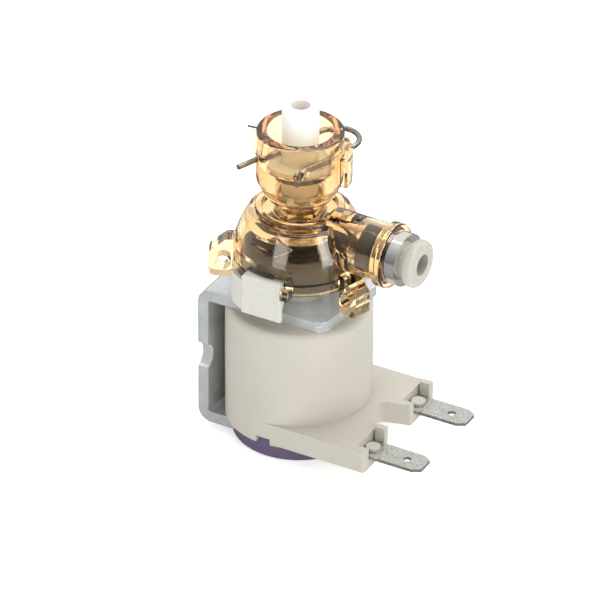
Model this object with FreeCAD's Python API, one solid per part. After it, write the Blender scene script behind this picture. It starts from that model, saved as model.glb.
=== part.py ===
"""Normally closed solenoid water valve: moulded body with a clipped inlet and a push-in outlet,
on a yoke and coil with two spade tabs.

Frame: millimetres, +Z up along the valve's axis, origin on that axis at the underside of the
end cap. +X points from the yoke's wall to the spade tabs, and +Y is away from the cap's tab.
"""
import FreeCAD
import Part
import math
import os

V = FreeCAD.Vector
ORIGIN = V(0, 0, 0)
UP = V(0, 0, 1)

# ---- driving dimensions ----------------------------------------------------------------------
# fits
RUNNING_GAP = 0.06        # radial clearance of a sliding fit
SEAT_GAP = 0.10           # clearance between fixed pieces that are put together by hand
SOFT_GAP = 0.15           # clearance around rubber that is drawn unsqueezed
RING_GAP = 0.02           # clearance of an O-ring in its bore, drawn unsqueezed
CUT_OVER = 1.0            # how far a cutting tool runs past the face it opens

# end cap
CAP_R = 14.9
CAP_FLOOR = 1.6
CAP_WALL = 1.3
CAP_EDGE_R = 0.6
CAP_TAB_WIDTH = 3.2
CAP_TAB_RISE = 1.0

# yoke, one bent strip
YOKE_T = 2.6
YOKE_WIDTH = 22.0
YOKE_BEND_R = 3.2
YOKE_SIDE_GAP = 0.45      # between the coil and the wall
YOKE_NEAR_END = 12.2      # reach of the top plate along +X, at its -Y and +Y corners
YOKE_FAR_END = 14.2
YOKE_CORNER_CUT = 1.6     # small cut at each corner, along X and Y
YOKE_MARK_X = 9.9         # coined mark in the plate's front edge
YOKE_MARK_L = 1.7
YOKE_MARK_W = 0.7
YOKE_MARK_DEPTH = 1.1
YOKE_NOTCH_R = 3.2        # half-round notch in the wall's edges
YOKE_NOTCH_DEPTH = 2.2
YOKE_LEG_END_R = 13.1     # rounded end of the leg, inside the cap

# coil
COIL_R = 16.4
COIL_H = 29.0
COIL_EDGE_R = 1.4
COIL_BORE_R = 6.5         # bore of the bobbin
BOBBIN_WALL = 1.0
BOBBIN_FLANGE_T = 1.5
WINDING_R = 12.6
MOULD_WALL = 2.8          # thickness of the overmould round the winding
COIL_NOTCH_WIDTH = 3.5
COIL_NOTCH_DEPTH = 1.6

# levels of the stack: yoke's leg, coil, yoke's plate, flange, body
LEG_BOTTOM = CAP_FLOOR + SEAT_GAP
COIL_BOTTOM = LEG_BOTTOM + YOKE_T
COIL_TOP = COIL_BOTTOM + COIL_H
PLATE_TOP = COIL_TOP + YOKE_T
FLANGE_LIFT = 7.0         # flange's top above the plate
FLANGE_TOP = PLATE_TOP + FLANGE_LIFT
SEAL_T = 1.7
BODY_BOTTOM = FLANGE_TOP + SEAL_T   # step in the skirt that presses on the seal
SKIRT_BOTTOM = BODY_BOTTOM - 2.1    # foot of the thin skirt round the seal

# terminal block on the coil
BLOCK_BASE = 0.4          # height of the block's underside above the coil's bottom
BLOCK_H = 5.2
BLOCK_END = 25.3
BLOCK_BAY_X = 18.4        # deepest point of the bay between the arms
BLOCK_BAY_IN = 3.6        # half widths of the bay, inside and at its mouth
BLOCK_BAY_OUT = 5.8
BLOCK_BAY_CORNER_R = 2.0
BLOCK_EDGE_R = 0.5
LEDGE_START = 22.6
LEDGE_DROP = 3.1          # depth of the ledge that each tab lies on, below the block's top
LEDGE_SIDE = 0.45         # space beside a tab on its ledge
STAKE_R = 1.65
STAKE_RISE = 0.7
POST_X = 24.3
POST_LENGTH = 2.3
POST_WIDTH = 1.6
POST_RISE = 1.0

# spade tabs
TAB_WIDTH = 6.3
TAB_T = 0.8
TAB_END = 37.5
TAB_Y = 10.5
TAB_HOLE_R = 0.9
TAB_HOLE_IN = 4.6         # from the tip to the hole
TAB_CHAMFER_L = 2.0
TAB_CHAMFER_W = 1.1
TAB_BEAD_R = 0.28
TAB_BEAD_X = (27.6, 26.6)  # shoulder bead, front tab and rear tab

# guide tube with its flange and hooks
TUBE_R = 5.55
TUBE_WALL = 0.9
TUBE_FLOOR = 1.2
HUB_R = 6.4
FLANGE_R = 13.4
FLANGE_T = 1.2
HOOK_R = 14.7             # inner radius of the curved hook wall
HOOK_WALL = 0.9
HOOK_STEP = 2.6           # drop from the block's top to the curved wall's top
HOOK_EDGE_R = 0.4
HOOK_CORNER_R = 1.2       # upper corners of the block's face
HOOK_FACE = 15.6          # flat face of the hook block, from the axis
HOOK_ROOT = 11.5          # inner end of the block, under the flange
HOOK_TONGUE_T = 1.0       # tongue that hangs down in front of the plate
HOOK_TONGUE_LIFT = 0.5    # its end above the plate's top
HOOK_GUSSET = 2.8         # length of the tongue below the gusset
HOOK_LEFT = -6.0
HOOK_RIGHT = 3.8
HOOK_TOP = BODY_BOTTOM + 1.5
HOOK_ARC_START = 226.0    # degrees, start of the curved wall
HOOK_ARC_END = 252.0      # inside the block
HOOK_ARC_STEPS = 6
HOOK_LIP = 0.9            # lip over the body's bayonet flange

# armature
PLUNGER_L = 25.6
PLUNGER_TOP = BODY_BOTTOM - 1.0
PLUNGER_NOSE_R = 1.5
PLUNGER_NOSE_H = 0.9
PLUNGER_NOSE_DEPTH = 2.0
PLUNGER_FLAT = 0.5
SPRING_WIRE_R = 0.28
SPRING_R = 2.5
SPRING_TURNS = 7
SPRING_POCKET_DEPTH = 6.0
PLUNGER_STROKE = 2.2
SLEEVE_H = 10.0

# moulded body
BODY_TURN = -2.8          # body turned about the axis against the yoke
BODY_R = 14.6
BODY_WALL = 1.7
SKIRT_WALL = 0.9
SHOULDER_R = 11.4
SHOULDER_Z = BODY_BOTTOM + 11.6
RIM_R = 9.9
RIM_TOP = BODY_BOTTOM + 12.9
MOAT_R = 8.25
MOAT_FLOOR = BODY_BOTTOM + 11.4
CEILING_Z = BODY_BOTTOM + 9.8
NECK_R = 5.6
COLLAR_R = 9.6
COLLAR_TOP = BODY_BOTTOM + 31.7
COLLAR_FOOT = BODY_BOTTOM + 16.8
COLLAR_FOOT_R = 8.3
COLLAR_STRAIGHT = BODY_BOTTOM + 19.8
NECK_RING_R = 7.1
NECK_RING_Z = BODY_BOTTOM + 15.0
SOCKET_R = 7.25
SOCKET_FLOOR = BODY_BOTTOM + 23.3
SEAL_BORE_R = 5.6
SEAL_BORE_FLOOR = BODY_BOTTOM + 17.0
CHANNEL_R = 2.9
NOZZLE_R = 4.6
SEAT_Z = BODY_BOTTOM + 5.55
SKIRT_H = 3.7             # straight part of the dome's outside
DOME_MID_R = 13.25        # a point on the dome's outer arc
DOME_MID_H = 7.9
ROOF_MID_R = 12.2         # a point on its inner arc, and where that meets the sloping roof
ROOF_MID_H = 6.3
ROOF_R = 11.1
ROOF_H = 8.8
RIM_EDGE_R = 0.4          # rounding of the body's edges
COLLAR_EDGE_R = 0.6
SHOULDER_EDGE_R = 1.2
ARROW_RAISE = 0.6
ARROW_SUNK = 0.6          # how far the arrow reaches into the wall
ARROW_TAIL = -4.2
ARROW_NECK = 1.8
ARROW_TIP = 5.5
ARROW_Z = BODY_BOTTOM + 8.8
ARROW_SHAFT = 0.8         # half widths
ARROW_HEAD = 1.95
STOP_RIGHT = 5.8          # stop lug beside the hook block
STOP_REACH = 16.0
STOP_TOP = BODY_BOTTOM + 0.4

# body ears
EAR_LEFT_TURN = -151.0    # degrees from +X, before the body is turned
EAR_RIGHT_TURN = -15.0
EAR_RIGHT_DROP = 2.2      # the right ear sits lower
EAR_REACH = 20.0
EAR_ROOT = 13.9           # inside the skirt's wall
EAR_BOTTOM = BODY_BOTTOM - 4.9
EAR_TOP = BODY_BOTTOM + 4.4
EAR_T = 4.2
EAR_HOLE_R = 1.7
EAR_HOLE_IN = 3.3
EAR_HOLE_Z = BODY_BOTTOM - 1.5
EAR_ROUND = 1.5
EAR_SLANT_X = 4.0         # slanted upper corner, along the reach and in height
EAR_SLANT_Z = 3.4
EAR_FOOT_ROOT = 14.8      # below the skirt the ear starts outside it

# outlet
OUTLET_Z = BODY_BOTTOM + 7.4
OUTLET_R = 6.5
OUTLET_RING_R = 7.35
OUTLET_RING_START = 21.9
OUTLET_ROOT = 8.4         # start of the barrel, inside the dome
OUTLET_END = 24.4
OUTLET_BORE_R = 5.3
OUTLET_BORE_START = 15.6
OUTLET_STOP_R = 2.6
OUTLET_SEAL_L = 3.2       # lip seal for the pushed-in tube
OUTLET_SEAL_BORE_R = 3.0
OUTLET_SEAL_EDGE_R = 0.4
SPACER_L = 1.8
SPACER_CLEAR = 0.3        # bore over the tube
CARTRIDGE_R = 6.0
CARTRIDGE_END = 27.4
CARTRIDGE_BORE_R = 4.1
CARTRIDGE_SHANK = 3.0     # length of the ring's shank inside the barrel
COLLET_R = 5.4
COLLET_FACE = 31.1
COLLET_FLANGE_T = 2.45
COLLET_EDGE_R = 0.95
COLLET_BORE_R = 2.45
COLLET_STROKE = 1.2
TEETH_T = 0.25
TEETH_IN = 0.5            # outer edge inside the cartridge ring bore

# inlet stub and clip
STUB_R = 4.1
STUB_BORE_R = 2.2
STUB_GROOVE_R = 3.9
STUB_TOP = BODY_BOTTOM + 37.7
STUB_BOTTOM = BODY_BOTTOM + 17.6
STUB_FLANGE_R = 6.9
STUB_FLANGE_T = 1.1
INLET_SEAL_T = 2.4
CLIP_WIRE_R = 0.62
CLIP_Z = BODY_BOTTOM + 25.15
CLIP_TURN = -110.0        # direction of the clip's legs, degrees from +X
CLIP_LOOP = 10.7          # from the axis to the loop's centre
CLIP_BEND = 3.3           # where the near leg turns outwards
CLIP_BEND_R = 1.6
CLIP_FLARE = 38.0
CLIP_FLARE_L = 7.1
CLIP_FAR_LEG = 13.6
CLIP_HOLE_GAP = 0.25
CLIP_SLOT_GAP = 0.8       # wider slot round the leg that turns outwards
FILTER_WALL = 0.35
FILTER_H = 5.0

# collar guards
GUARD_R = 11.4
GUARD_T = 0.9
GUARD_BOTTOM = BODY_BOTTOM + 19.8
GUARD_TOP = BODY_BOTTOM + 26.8
GUARD_FROM = 2.0
GUARD_TO = 56.0
FIN_TURN = 208.0
FIN_T = 0.9
FIN_BOTTOM = BODY_BOTTOM + 26.0
FIN_TOP = BODY_BOTTOM + 32.3
FIN_SLANT = 2.0

# diaphragm
SEAL_R = 13.6
SEAL_IN_R = 12.0
WEB_T = 0.8
WEB_IN_R = 4.4
WEB_TOP = BODY_BOTTOM + 4.6
WEB_FLAT = 1.8
CUP_H = 2.8               # straight side of the diaphragm's cup
CUP_SHOULDER_R = 11.6
CUP_SHOULDER_H = 4.0
INSERT_R = 5.9
INSERT_HUB_R = 2.6
PILOT_R = 0.6

# ---- derived levels --------------------------------------------------------------------------
WALL_IN = COIL_R + YOKE_SIDE_GAP
WALL_OUT = WALL_IN + YOKE_T
BLOCK_BOTTOM = COIL_BOTTOM + BLOCK_BASE
BLOCK_TOP = BLOCK_BOTTOM + BLOCK_H
LEDGE_Z = BLOCK_TOP - LEDGE_DROP
TAB_START = LEDGE_START + SEAT_GAP
FLANGE_BOTTOM = FLANGE_TOP - FLANGE_T
TUBE_BORE_R = TUBE_R - TUBE_WALL
TUBE_BOTTOM = CAP_FLOOR
TUBE_FLOOR_TOP = TUBE_BOTTOM + TUBE_FLOOR
PLUNGER_R = TUBE_BORE_R - RUNNING_GAP
PLUNGER_BOTTOM = PLUNGER_TOP - PLUNGER_L
CORE_TOP = PLUNGER_BOTTOM - PLUNGER_STROKE
LIP_BOTTOM = HOOK_TOP - HOOK_LIP
SKIRT_TOP = BODY_BOTTOM + SKIRT_H
STUB_FLANGE_Z = CLIP_Z - CLIP_WIRE_R - STUB_FLANGE_T
CLIP_HALF = STUB_R + CLIP_WIRE_R + RUNNING_GAP


# ---- helpers ---------------------------------------------------------------------------------
def cylinder(radius, bottom, top):
    """Solid cylinder on the valve's axis between two levels."""
    return Part.makeCylinder(radius, top - bottom, V(0, 0, bottom), UP)


def ring(outer, inner, bottom, top):
    """Flat ring on the valve's axis."""
    over = V(0, 0, bottom - CUT_OVER)
    hole = Part.makeCylinder(inner, top - bottom + 2 * CUT_OVER, over, UP)
    return cylinder(outer, bottom, top).cut(hole)


def block(x_low, x_high, y_low, y_high, z_low, z_high):
    """Box between two corners."""
    return Part.makeBox(x_high - x_low, y_high - y_low, z_high - z_low, V(x_low, y_low, z_low))


def prism(points, bottom, top):
    """Upright prism over a closed outline of (x, y) points."""
    loop = [V(x, y, bottom) for x, y in points]
    return Part.Face(Part.makePolygon(loop + loop[:1])).extrude(V(0, 0, top - bottom))


def revolved(points):
    """Solid of revolution of a closed (radius, z) outline. A point may carry the (radius, z) of
    a middle point as well, and is then reached by an arc instead of a line."""
    runs = []
    for before, here in zip(points[-1:] + points[:-1], points):
        start, end = V(before[0], 0, before[1]), V(here[0], 0, here[1])
        if len(here) > 2:
            runs.append(Part.Arc(start, V(here[2], 0, here[3]), end).toShape())
        else:
            runs.append(Part.makeLine(start, end))
    return Part.Face(Part.Wire(runs)).revolve(ORIGIN, UP, 360)


def along_outlet(radius, start, end):
    """Cylinder on the outlet's axis, before the body is turned."""
    return Part.makeCylinder(radius, end - start, V(start, 0, OUTLET_Z), V(1, 0, 0))


def turned(shape, degrees):
    """Copy of a shape turned about the valve's axis."""
    copy = shape.copy()
    copy.rotate(ORIGIN, UP, degrees)
    return copy


def torus(major, minor, centre_z):
    """Round ring on the valve's axis."""
    return Part.makeTorus(major, minor, V(0, 0, centre_z), UP)


def rounded(shape, radius, chosen):
    """Fillet the edges for which chosen(edge) is true."""
    return shape.makeFillet(radius, [edge for edge in shape.Edges if chosen(edge)])


def is_upright(edge):
    """True for a straight edge parallel to the valve's axis."""
    if edge.Curve.TypeId != "Part::GeomLine":
        return False
    return abs(abs(edge.Curve.Direction.z) - 1) < 1e-6


def is_circle_at(edge, radius, level):
    """True for a circular edge of a radius at a level."""
    if edge.Curve.TypeId != "Part::GeomCircle":
        return False
    return abs(edge.Curve.Radius - radius) < 1e-4 and abs(edge.Curve.Center.z - level) < 1e-4


# ---- coil side -------------------------------------------------------------------------------
def make_end_cap():
    """Dish that closes the coil's underside: open at the yoke's leg, with a tab at -Y."""
    top = COIL_BOTTOM - SEAT_GAP
    dish = cylinder(CAP_R, 0, top)
    dish = rounded(dish, CAP_EDGE_R, lambda edge: is_circle_at(edge, CAP_R, 0))
    dish = dish.cut(cylinder(CAP_R - CAP_WALL, CAP_FLOOR, top + CUT_OVER))
    half_slot = YOKE_WIDTH / 2 + SEAT_GAP
    dish = dish.cut(block(-CAP_R - CUT_OVER, 0, -half_slot, half_slot, CAP_FLOOR, top + CUT_OVER))
    half_tab = CAP_TAB_WIDTH / 2
    tab = block(-half_tab, half_tab, -CAP_R, -CAP_R + CAP_WALL, CAP_FLOOR, COIL_BOTTOM + CAP_TAB_RISE)
    tab = tab.common(cylinder(CAP_R, 0, COIL_TOP))
    return dish.fuse(tab).removeSplitter()


def make_yoke():
    """Strip bent to a C: top plate, wall at -X and a leg under the coil."""
    half = YOKE_WIDTH / 2
    outside = block(-WALL_OUT, YOKE_FAR_END, -half, half, LEG_BOTTOM, PLATE_TOP)
    outside = rounded(outside, YOKE_BEND_R, lambda edge: edge.Length > YOKE_WIDTH - 0.01
                      and abs(edge.Curve.Direction.y) > 0.9 and edge.CenterOfMass.x < 0)
    inside = block(-WALL_IN, YOKE_FAR_END + CUT_OVER, -half - CUT_OVER, half + CUT_OVER,
                   COIL_BOTTOM, COIL_TOP)
    inside = rounded(inside, YOKE_BEND_R - YOKE_T, lambda edge: edge.Length > YOKE_WIDTH
                     and abs(edge.Curve.Direction.y) > 0.9 and edge.CenterOfMass.x < 0)
    strip = outside.cut(inside)
    inner = half - YOKE_CORNER_CUT
    plate_outline = [(-WALL_OUT - CUT_OVER, -half), (YOKE_NEAR_END - YOKE_CORNER_CUT, -half),
                     (YOKE_NEAR_END, -inner), (YOKE_FAR_END, inner),
                     (YOKE_FAR_END - YOKE_CORNER_CUT, half), (-WALL_OUT - CUT_OVER, half)]
    strip = strip.common(prism(plate_outline, LEG_BOTTOM - CUT_OVER, PLATE_TOP + CUT_OVER))
    strip = strip.cut(block(YOKE_MARK_X, YOKE_MARK_X + YOKE_MARK_L, -half - CUT_OVER,
                            -half + YOKE_MARK_W, PLATE_TOP - YOKE_MARK_DEPTH, PLATE_TOP + CUT_OVER))
    leg_trim = block(0, YOKE_FAR_END + CUT_OVER, -half - CUT_OVER, half + CUT_OVER,
                     LEG_BOTTOM - CUT_OVER, COIL_BOTTOM + CUT_OVER)
    strip = strip.cut(leg_trim.cut(cylinder(YOKE_LEG_END_R, 0, COIL_TOP)))
    middle = (LEG_BOTTOM + PLATE_TOP) / 2
    for side in (-1, 1):
        centre_y = side * (half + YOKE_NOTCH_R - YOKE_NOTCH_DEPTH)
        notch = Part.makeCylinder(YOKE_NOTCH_R, YOKE_T + 2 * CUT_OVER,
                                  V(-WALL_OUT - CUT_OVER, centre_y, middle), V(1, 0, 0))
        strip = strip.cut(notch)
    strip = strip.cut(cylinder(TUBE_R + SEAT_GAP, LEG_BOTTOM - CUT_OVER, PLATE_TOP + CUT_OVER))
    return strip


def block_outline():
    """Outline of the terminal block with the rounded bay between its arms."""
    solid = block(0, BLOCK_END, -COIL_R, COIL_R, BLOCK_BOTTOM, BLOCK_TOP)
    mouth = BLOCK_END + CUT_OVER
    bay = prism([(BLOCK_BAY_X, -BLOCK_BAY_IN), (mouth, -BLOCK_BAY_OUT), (mouth, BLOCK_BAY_OUT),
                 (BLOCK_BAY_X, BLOCK_BAY_IN)], BLOCK_BOTTOM - CUT_OVER, BLOCK_TOP + CUT_OVER)
    bay = rounded(bay, BLOCK_BAY_CORNER_R,
                  lambda edge: is_upright(edge) and edge.CenterOfMass.x < BLOCK_BAY_X + 0.1)
    solid = solid.cut(bay)
    return rounded(solid, BLOCK_EDGE_R,
                   lambda edge: is_upright(edge) and edge.CenterOfMass.x > LEDGE_START)


def make_coil_overmould():
    """Moulding round the winding, with the terminal block, its ledges, stakes and posts."""
    body = cylinder(COIL_R, COIL_BOTTOM, COIL_TOP)
    body = rounded(body, COIL_EDGE_R, lambda edge: is_circle_at(edge, COIL_R, COIL_TOP))
    body = body.fuse(block_outline())
    bore_r = COIL_R - MOULD_WALL
    body = body.cut(cylinder(bore_r, COIL_BOTTOM - CUT_OVER, COIL_TOP + CUT_OVER))
    half_notch = COIL_NOTCH_WIDTH / 2
    body = body.cut(block(-half_notch, half_notch, -COIL_R - CUT_OVER, -bore_r + CUT_OVER,
                          COIL_BOTTOM - CUT_OVER, COIL_BOTTOM + COIL_NOTCH_DEPTH))
    half_ledge = TAB_WIDTH / 2 + LEDGE_SIDE
    for side in (-1, 1):
        centre_y = side * TAB_Y
        body = body.cut(block(LEDGE_START, BLOCK_END + CUT_OVER, centre_y - half_ledge,
                              centre_y + half_ledge, LEDGE_Z, BLOCK_TOP + CUT_OVER))
        stake = Part.makeCylinder(STAKE_R, TAB_T + STAKE_RISE, V(stake_x(), centre_y, LEDGE_Z), UP)
        post_y = centre_y + TAB_WIDTH / 2 + SEAT_GAP
        post = block(POST_X - POST_LENGTH / 2, POST_X + POST_LENGTH / 2, post_y,
                     post_y + POST_WIDTH, BLOCK_BOTTOM, BLOCK_TOP + POST_RISE)
        body = body.fuse([stake, post])
    return body.removeSplitter()


def stake_x():
    """Centre of a tab's stake along X."""
    return TAB_START + STAKE_R + SEAT_GAP


def make_tab(side, bead_x):
    """Spade tab with a stake hole, a detent hole, chamfered tip and a shoulder bead."""
    half = TAB_WIDTH / 2
    outline = [(TAB_START, -half), (TAB_END - TAB_CHAMFER_L, -half),
               (TAB_END, -half + TAB_CHAMFER_W), (TAB_END, half - TAB_CHAMFER_W),
               (TAB_END - TAB_CHAMFER_L, half), (TAB_START, half)]
    tab = prism(outline, LEDGE_Z, LEDGE_Z + TAB_T)
    for hole_x, hole_r in ((TAB_END - TAB_HOLE_IN, TAB_HOLE_R), (stake_x(), STAKE_R + SEAT_GAP / 2)):
        tab = tab.cut(Part.makeCylinder(hole_r, TAB_T + 2 * CUT_OVER,
                                        V(hole_x, 0, LEDGE_Z - CUT_OVER), UP))
    bead = Part.makeCylinder(TAB_BEAD_R, TAB_WIDTH - 2 * TAB_BEAD_R,
                             V(bead_x, -half + TAB_BEAD_R, LEDGE_Z + TAB_T), V(0, 1, 0))
    tab = tab.fuse(bead.common(block(0, TAB_END, -half, half, LEDGE_Z, BLOCK_TOP)))
    tab.translate(V(0, side * TAB_Y, 0))
    return tab


def make_bobbin():
    """Spool that carries the winding."""
    spool = cylinder(COIL_BORE_R + BOBBIN_WALL, COIL_BOTTOM, COIL_TOP)
    flange_r = COIL_R - MOULD_WALL - SEAT_GAP / 2
    spool = spool.fuse([cylinder(flange_r, COIL_BOTTOM, COIL_BOTTOM + BOBBIN_FLANGE_T),
                        cylinder(flange_r, COIL_TOP - BOBBIN_FLANGE_T, COIL_TOP)])
    return spool.cut(cylinder(COIL_BORE_R, COIL_BOTTOM - CUT_OVER, COIL_TOP + CUT_OVER))


def make_winding():
    """Copper winding between the bobbin's flanges."""
    return ring(WINDING_R, COIL_BORE_R + BOBBIN_WALL, COIL_BOTTOM + BOBBIN_FLANGE_T,
                COIL_TOP - BOBBIN_FLANGE_T)


def make_flux_sleeve():
    """Steel sleeve between the guide tube and the bobbin, on the yoke's leg."""
    return ring(COIL_BORE_R - SEAT_GAP / 2, TUBE_R + SEAT_GAP, COIL_BOTTOM, COIL_BOTTOM + SLEEVE_H)


# ---- guide tube and armature -----------------------------------------------------------------
def hook_arm():
    """One bayonet arm: curved wall, flat-faced block with a hanging tongue, and a lip."""
    inner_r = BODY_R + SEAT_GAP
    foot = PLATE_TOP + HOOK_TONGUE_LIFT
    tongue_back = -HOOK_FACE + HOOK_TONGUE_T
    side = [(-HOOK_FACE, HOOK_TOP), (-HOOK_FACE, foot), (tongue_back, foot),
            (tongue_back, foot + HOOK_GUSSET), (-FLANGE_R, FLANGE_BOTTOM),
            (-HOOK_ROOT, FLANGE_BOTTOM), (-HOOK_ROOT, HOOK_TOP)]
    loop = [V(HOOK_LEFT, y, z) for y, z in side]
    slab = Part.Face(Part.makePolygon(loop + loop[:1])).extrude(V(HOOK_RIGHT - HOOK_LEFT, 0, 0))
    slab = rounded(slab, HOOK_CORNER_R, lambda edge: abs(edge.CenterOfMass.z - HOOK_TOP) < 1e-4
                   and abs(edge.Length - HOOK_FACE + HOOK_ROOT) < 1e-4)
    slab = rounded(slab, HOOK_EDGE_R, lambda edge: abs(edge.CenterOfMass.y + HOOK_FACE) < 1e-4
                   and edge.CenterOfMass.z > foot + HOOK_EDGE_R)
    slab = slab.cut(cylinder(inner_r, SKIRT_BOTTOM - SEAT_GAP, LIP_BOTTOM))
    slab = slab.cut(cylinder(BODY_R - HOOK_LIP, LIP_BOTTOM - CUT_OVER, HOOK_TOP + CUT_OVER))
    curved = ring(HOOK_R + HOOK_WALL, HOOK_R, PLATE_TOP, HOOK_TOP - HOOK_STEP)
    reach = 2 * HOOK_R
    sweep = [(0, 0)]
    for step in range(HOOK_ARC_STEPS + 1):
        part = step / HOOK_ARC_STEPS
        angle = math.radians(HOOK_ARC_START + part * (HOOK_ARC_END - HOOK_ARC_START))
        sweep.append((reach * math.cos(angle), reach * math.sin(angle)))
    return slab.fuse(curved.common(prism(sweep, PLATE_TOP, HOOK_TOP)))


def make_guide_tube():
    """Guide tube with hub, flange and two opposite bayonet arms."""
    tube = cylinder(TUBE_R, TUBE_BOTTOM, PLATE_TOP)
    flange = cylinder(FLANGE_R, FLANGE_BOTTOM, FLANGE_TOP)
    piece = tube.fuse([cylinder(HUB_R, PLATE_TOP, FLANGE_BOTTOM), flange])
    arm = hook_arm()
    piece = piece.fuse([arm, turned(arm, 180)])
    piece = piece.cut(cylinder(TUBE_BORE_R, TUBE_FLOOR_TOP, FLANGE_TOP + CUT_OVER))
    return piece.removeSplitter()


def make_fixed_core():
    """Steel core at the closed end of the guide tube."""
    return cylinder(TUBE_BORE_R - RUNNING_GAP / 2, TUBE_FLOOR_TOP, CORE_TOP)


def make_plunger():
    """Armature: steel slug with flow flats, spring pocket below and a nose above."""
    slug = cylinder(PLUNGER_R, PLUNGER_BOTTOM, PLUNGER_TOP)
    flat = block(-PLUNGER_R, PLUNGER_R, PLUNGER_R - PLUNGER_FLAT, PLUNGER_R + CUT_OVER,
                 PLUNGER_BOTTOM - CUT_OVER, PLUNGER_TOP + CUT_OVER)
    slug = slug.cut([flat, turned(flat, 180)])
    pocket_r = SPRING_R + SPRING_WIRE_R + RUNNING_GAP * 2
    slug = slug.cut(cylinder(pocket_r, PLUNGER_BOTTOM - CUT_OVER, PLUNGER_BOTTOM + SPRING_POCKET_DEPTH))
    nose_hole = cylinder(PLUNGER_NOSE_R, PLUNGER_TOP - PLUNGER_NOSE_DEPTH, PLUNGER_TOP + CUT_OVER)
    return slug.cut(nose_hole)


def make_plunger_seal():
    """Rubber nose that closes the pilot hole."""
    return cylinder(PLUNGER_NOSE_R, PLUNGER_TOP - PLUNGER_NOSE_DEPTH, PLUNGER_TOP + PLUNGER_NOSE_H)


def make_plunger_spring():
    """Compression spring from the core's face up into the plunger's pocket."""
    low = CORE_TOP + SPRING_WIRE_R
    height = PLUNGER_BOTTOM + SPRING_POCKET_DEPTH - SPRING_WIRE_R - low
    pitch = height / SPRING_TURNS
    helix = Part.makeLongHelix(pitch, height, SPRING_R)
    helix.translate(V(0, 0, low))
    run = V(0, 2 * math.pi * SPRING_R, pitch)
    profile = Part.Wire(Part.makeCircle(SPRING_WIRE_R, V(SPRING_R, 0, low), run))
    return Part.Wire(helix.Edges).makePipeShell([profile], True, True)


# ---- body ------------------------------------------------------------------------------------
def dome_arc(grown):
    """Outer line of the dome from the skirt to the shoulder, grown by a thickness."""
    return [(BODY_R + grown, SKIRT_TOP),
            (SHOULDER_R + grown, SHOULDER_Z, DOME_MID_R + grown, BODY_BOTTOM + DOME_MID_H)]


def chamber_line():
    """Inside line of the dome from the nozzle's root down to the skirt's foot."""
    return [(NOZZLE_R, SEAT_Z), (NOZZLE_R, CEILING_Z), (SHOULDER_R - BODY_WALL, CEILING_Z),
            (ROOF_R, BODY_BOTTOM + ROOF_H),
            (BODY_R - BODY_WALL, SKIRT_TOP, ROOF_MID_R, BODY_BOTTOM + ROOF_MID_H),
            (BODY_R - BODY_WALL, BODY_BOTTOM)]


def body_shell():
    """Revolved body: dome, moat round the neck, collar with its stepped socket, inlet nozzle."""
    outer = [(BODY_R, SKIRT_BOTTOM)] + dome_arc(0)
    outer += [(RIM_R, SHOULDER_Z), (RIM_R, RIM_TOP), (MOAT_R, RIM_TOP), (MOAT_R, MOAT_FLOOR),
              (NECK_R, MOAT_FLOOR), (NECK_R, NECK_RING_Z), (NECK_RING_R, NECK_RING_Z),
              (NECK_RING_R, COLLAR_FOOT), (COLLAR_FOOT_R, COLLAR_FOOT),
              (COLLAR_R, COLLAR_STRAIGHT), (COLLAR_R, COLLAR_TOP)]
    inner = [(SOCKET_R, COLLAR_TOP), (SOCKET_R, SOCKET_FLOOR), (SEAL_BORE_R, SOCKET_FLOOR),
             (SEAL_BORE_R, SEAL_BORE_FLOOR), (CHANNEL_R, SEAL_BORE_FLOOR), (CHANNEL_R, SEAT_Z)]
    skirt_in = BODY_R - SKIRT_WALL
    skirt = [(skirt_in, BODY_BOTTOM), (skirt_in, SKIRT_BOTTOM)]
    shell = revolved(outer + inner + chamber_line() + skirt)
    small = [(RIM_R, RIM_TOP), (MOAT_R, RIM_TOP), (NECK_RING_R, NECK_RING_Z), (SOCKET_R, COLLAR_TOP),
             (NECK_R, MOAT_FLOOR)]
    for rounding, places in ((RIM_EDGE_R, small), (SHOULDER_EDGE_R, [(SHOULDER_R, SHOULDER_Z)]),
                             (COLLAR_EDGE_R, [(COLLAR_R, COLLAR_TOP), (COLLAR_R, COLLAR_STRAIGHT)])):
        shell = rounded(shell, rounding, lambda edge: any(is_circle_at(edge, radius, level)
                                                          for radius, level in places))
    return shell


def outlet_barrel():
    """Outlet boss with its end ring, before boring."""
    boss = along_outlet(OUTLET_R, OUTLET_ROOT, OUTLET_END)
    end_ring = along_outlet(OUTLET_RING_R, OUTLET_RING_START, OUTLET_END)
    end_ring = rounded(end_ring, RIM_EDGE_R, lambda edge: edge.Curve.TypeId == "Part::GeomCircle")
    return boss.fuse(end_ring)


def ear(turn, drop):
    """Fixing ear with a slanted upper corner and a crosswise hole, lowered by a drop."""
    top, bottom = EAR_TOP - drop, EAR_BOTTOM - drop
    outline = [(EAR_ROOT, top), (EAR_ROOT, SKIRT_BOTTOM), (EAR_FOOT_ROOT, SKIRT_BOTTOM),
               (EAR_FOOT_ROOT, bottom), (EAR_REACH, bottom), (EAR_REACH, top - EAR_SLANT_Z),
               (EAR_REACH - EAR_SLANT_X, top)]
    loop = [V(x, -EAR_T / 2, z) for x, z in outline]
    lug = Part.Face(Part.makePolygon(loop + loop[:1])).extrude(V(0, EAR_T, 0))
    lug = rounded(lug, EAR_ROUND, lambda edge: abs(edge.Length - EAR_T) < 1e-4
                  and edge.CenterOfMass.x > EAR_REACH - EAR_SLANT_X - SEAT_GAP)
    lug = lug.cut(Part.makeCylinder(EAR_HOLE_R, EAR_T + 2 * CUT_OVER,
                                    V(EAR_REACH - EAR_HOLE_IN, -EAR_T / 2 - CUT_OVER, EAR_HOLE_Z - drop),
                                    V(0, 1, 0)))
    return turned(lug, turn)


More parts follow.
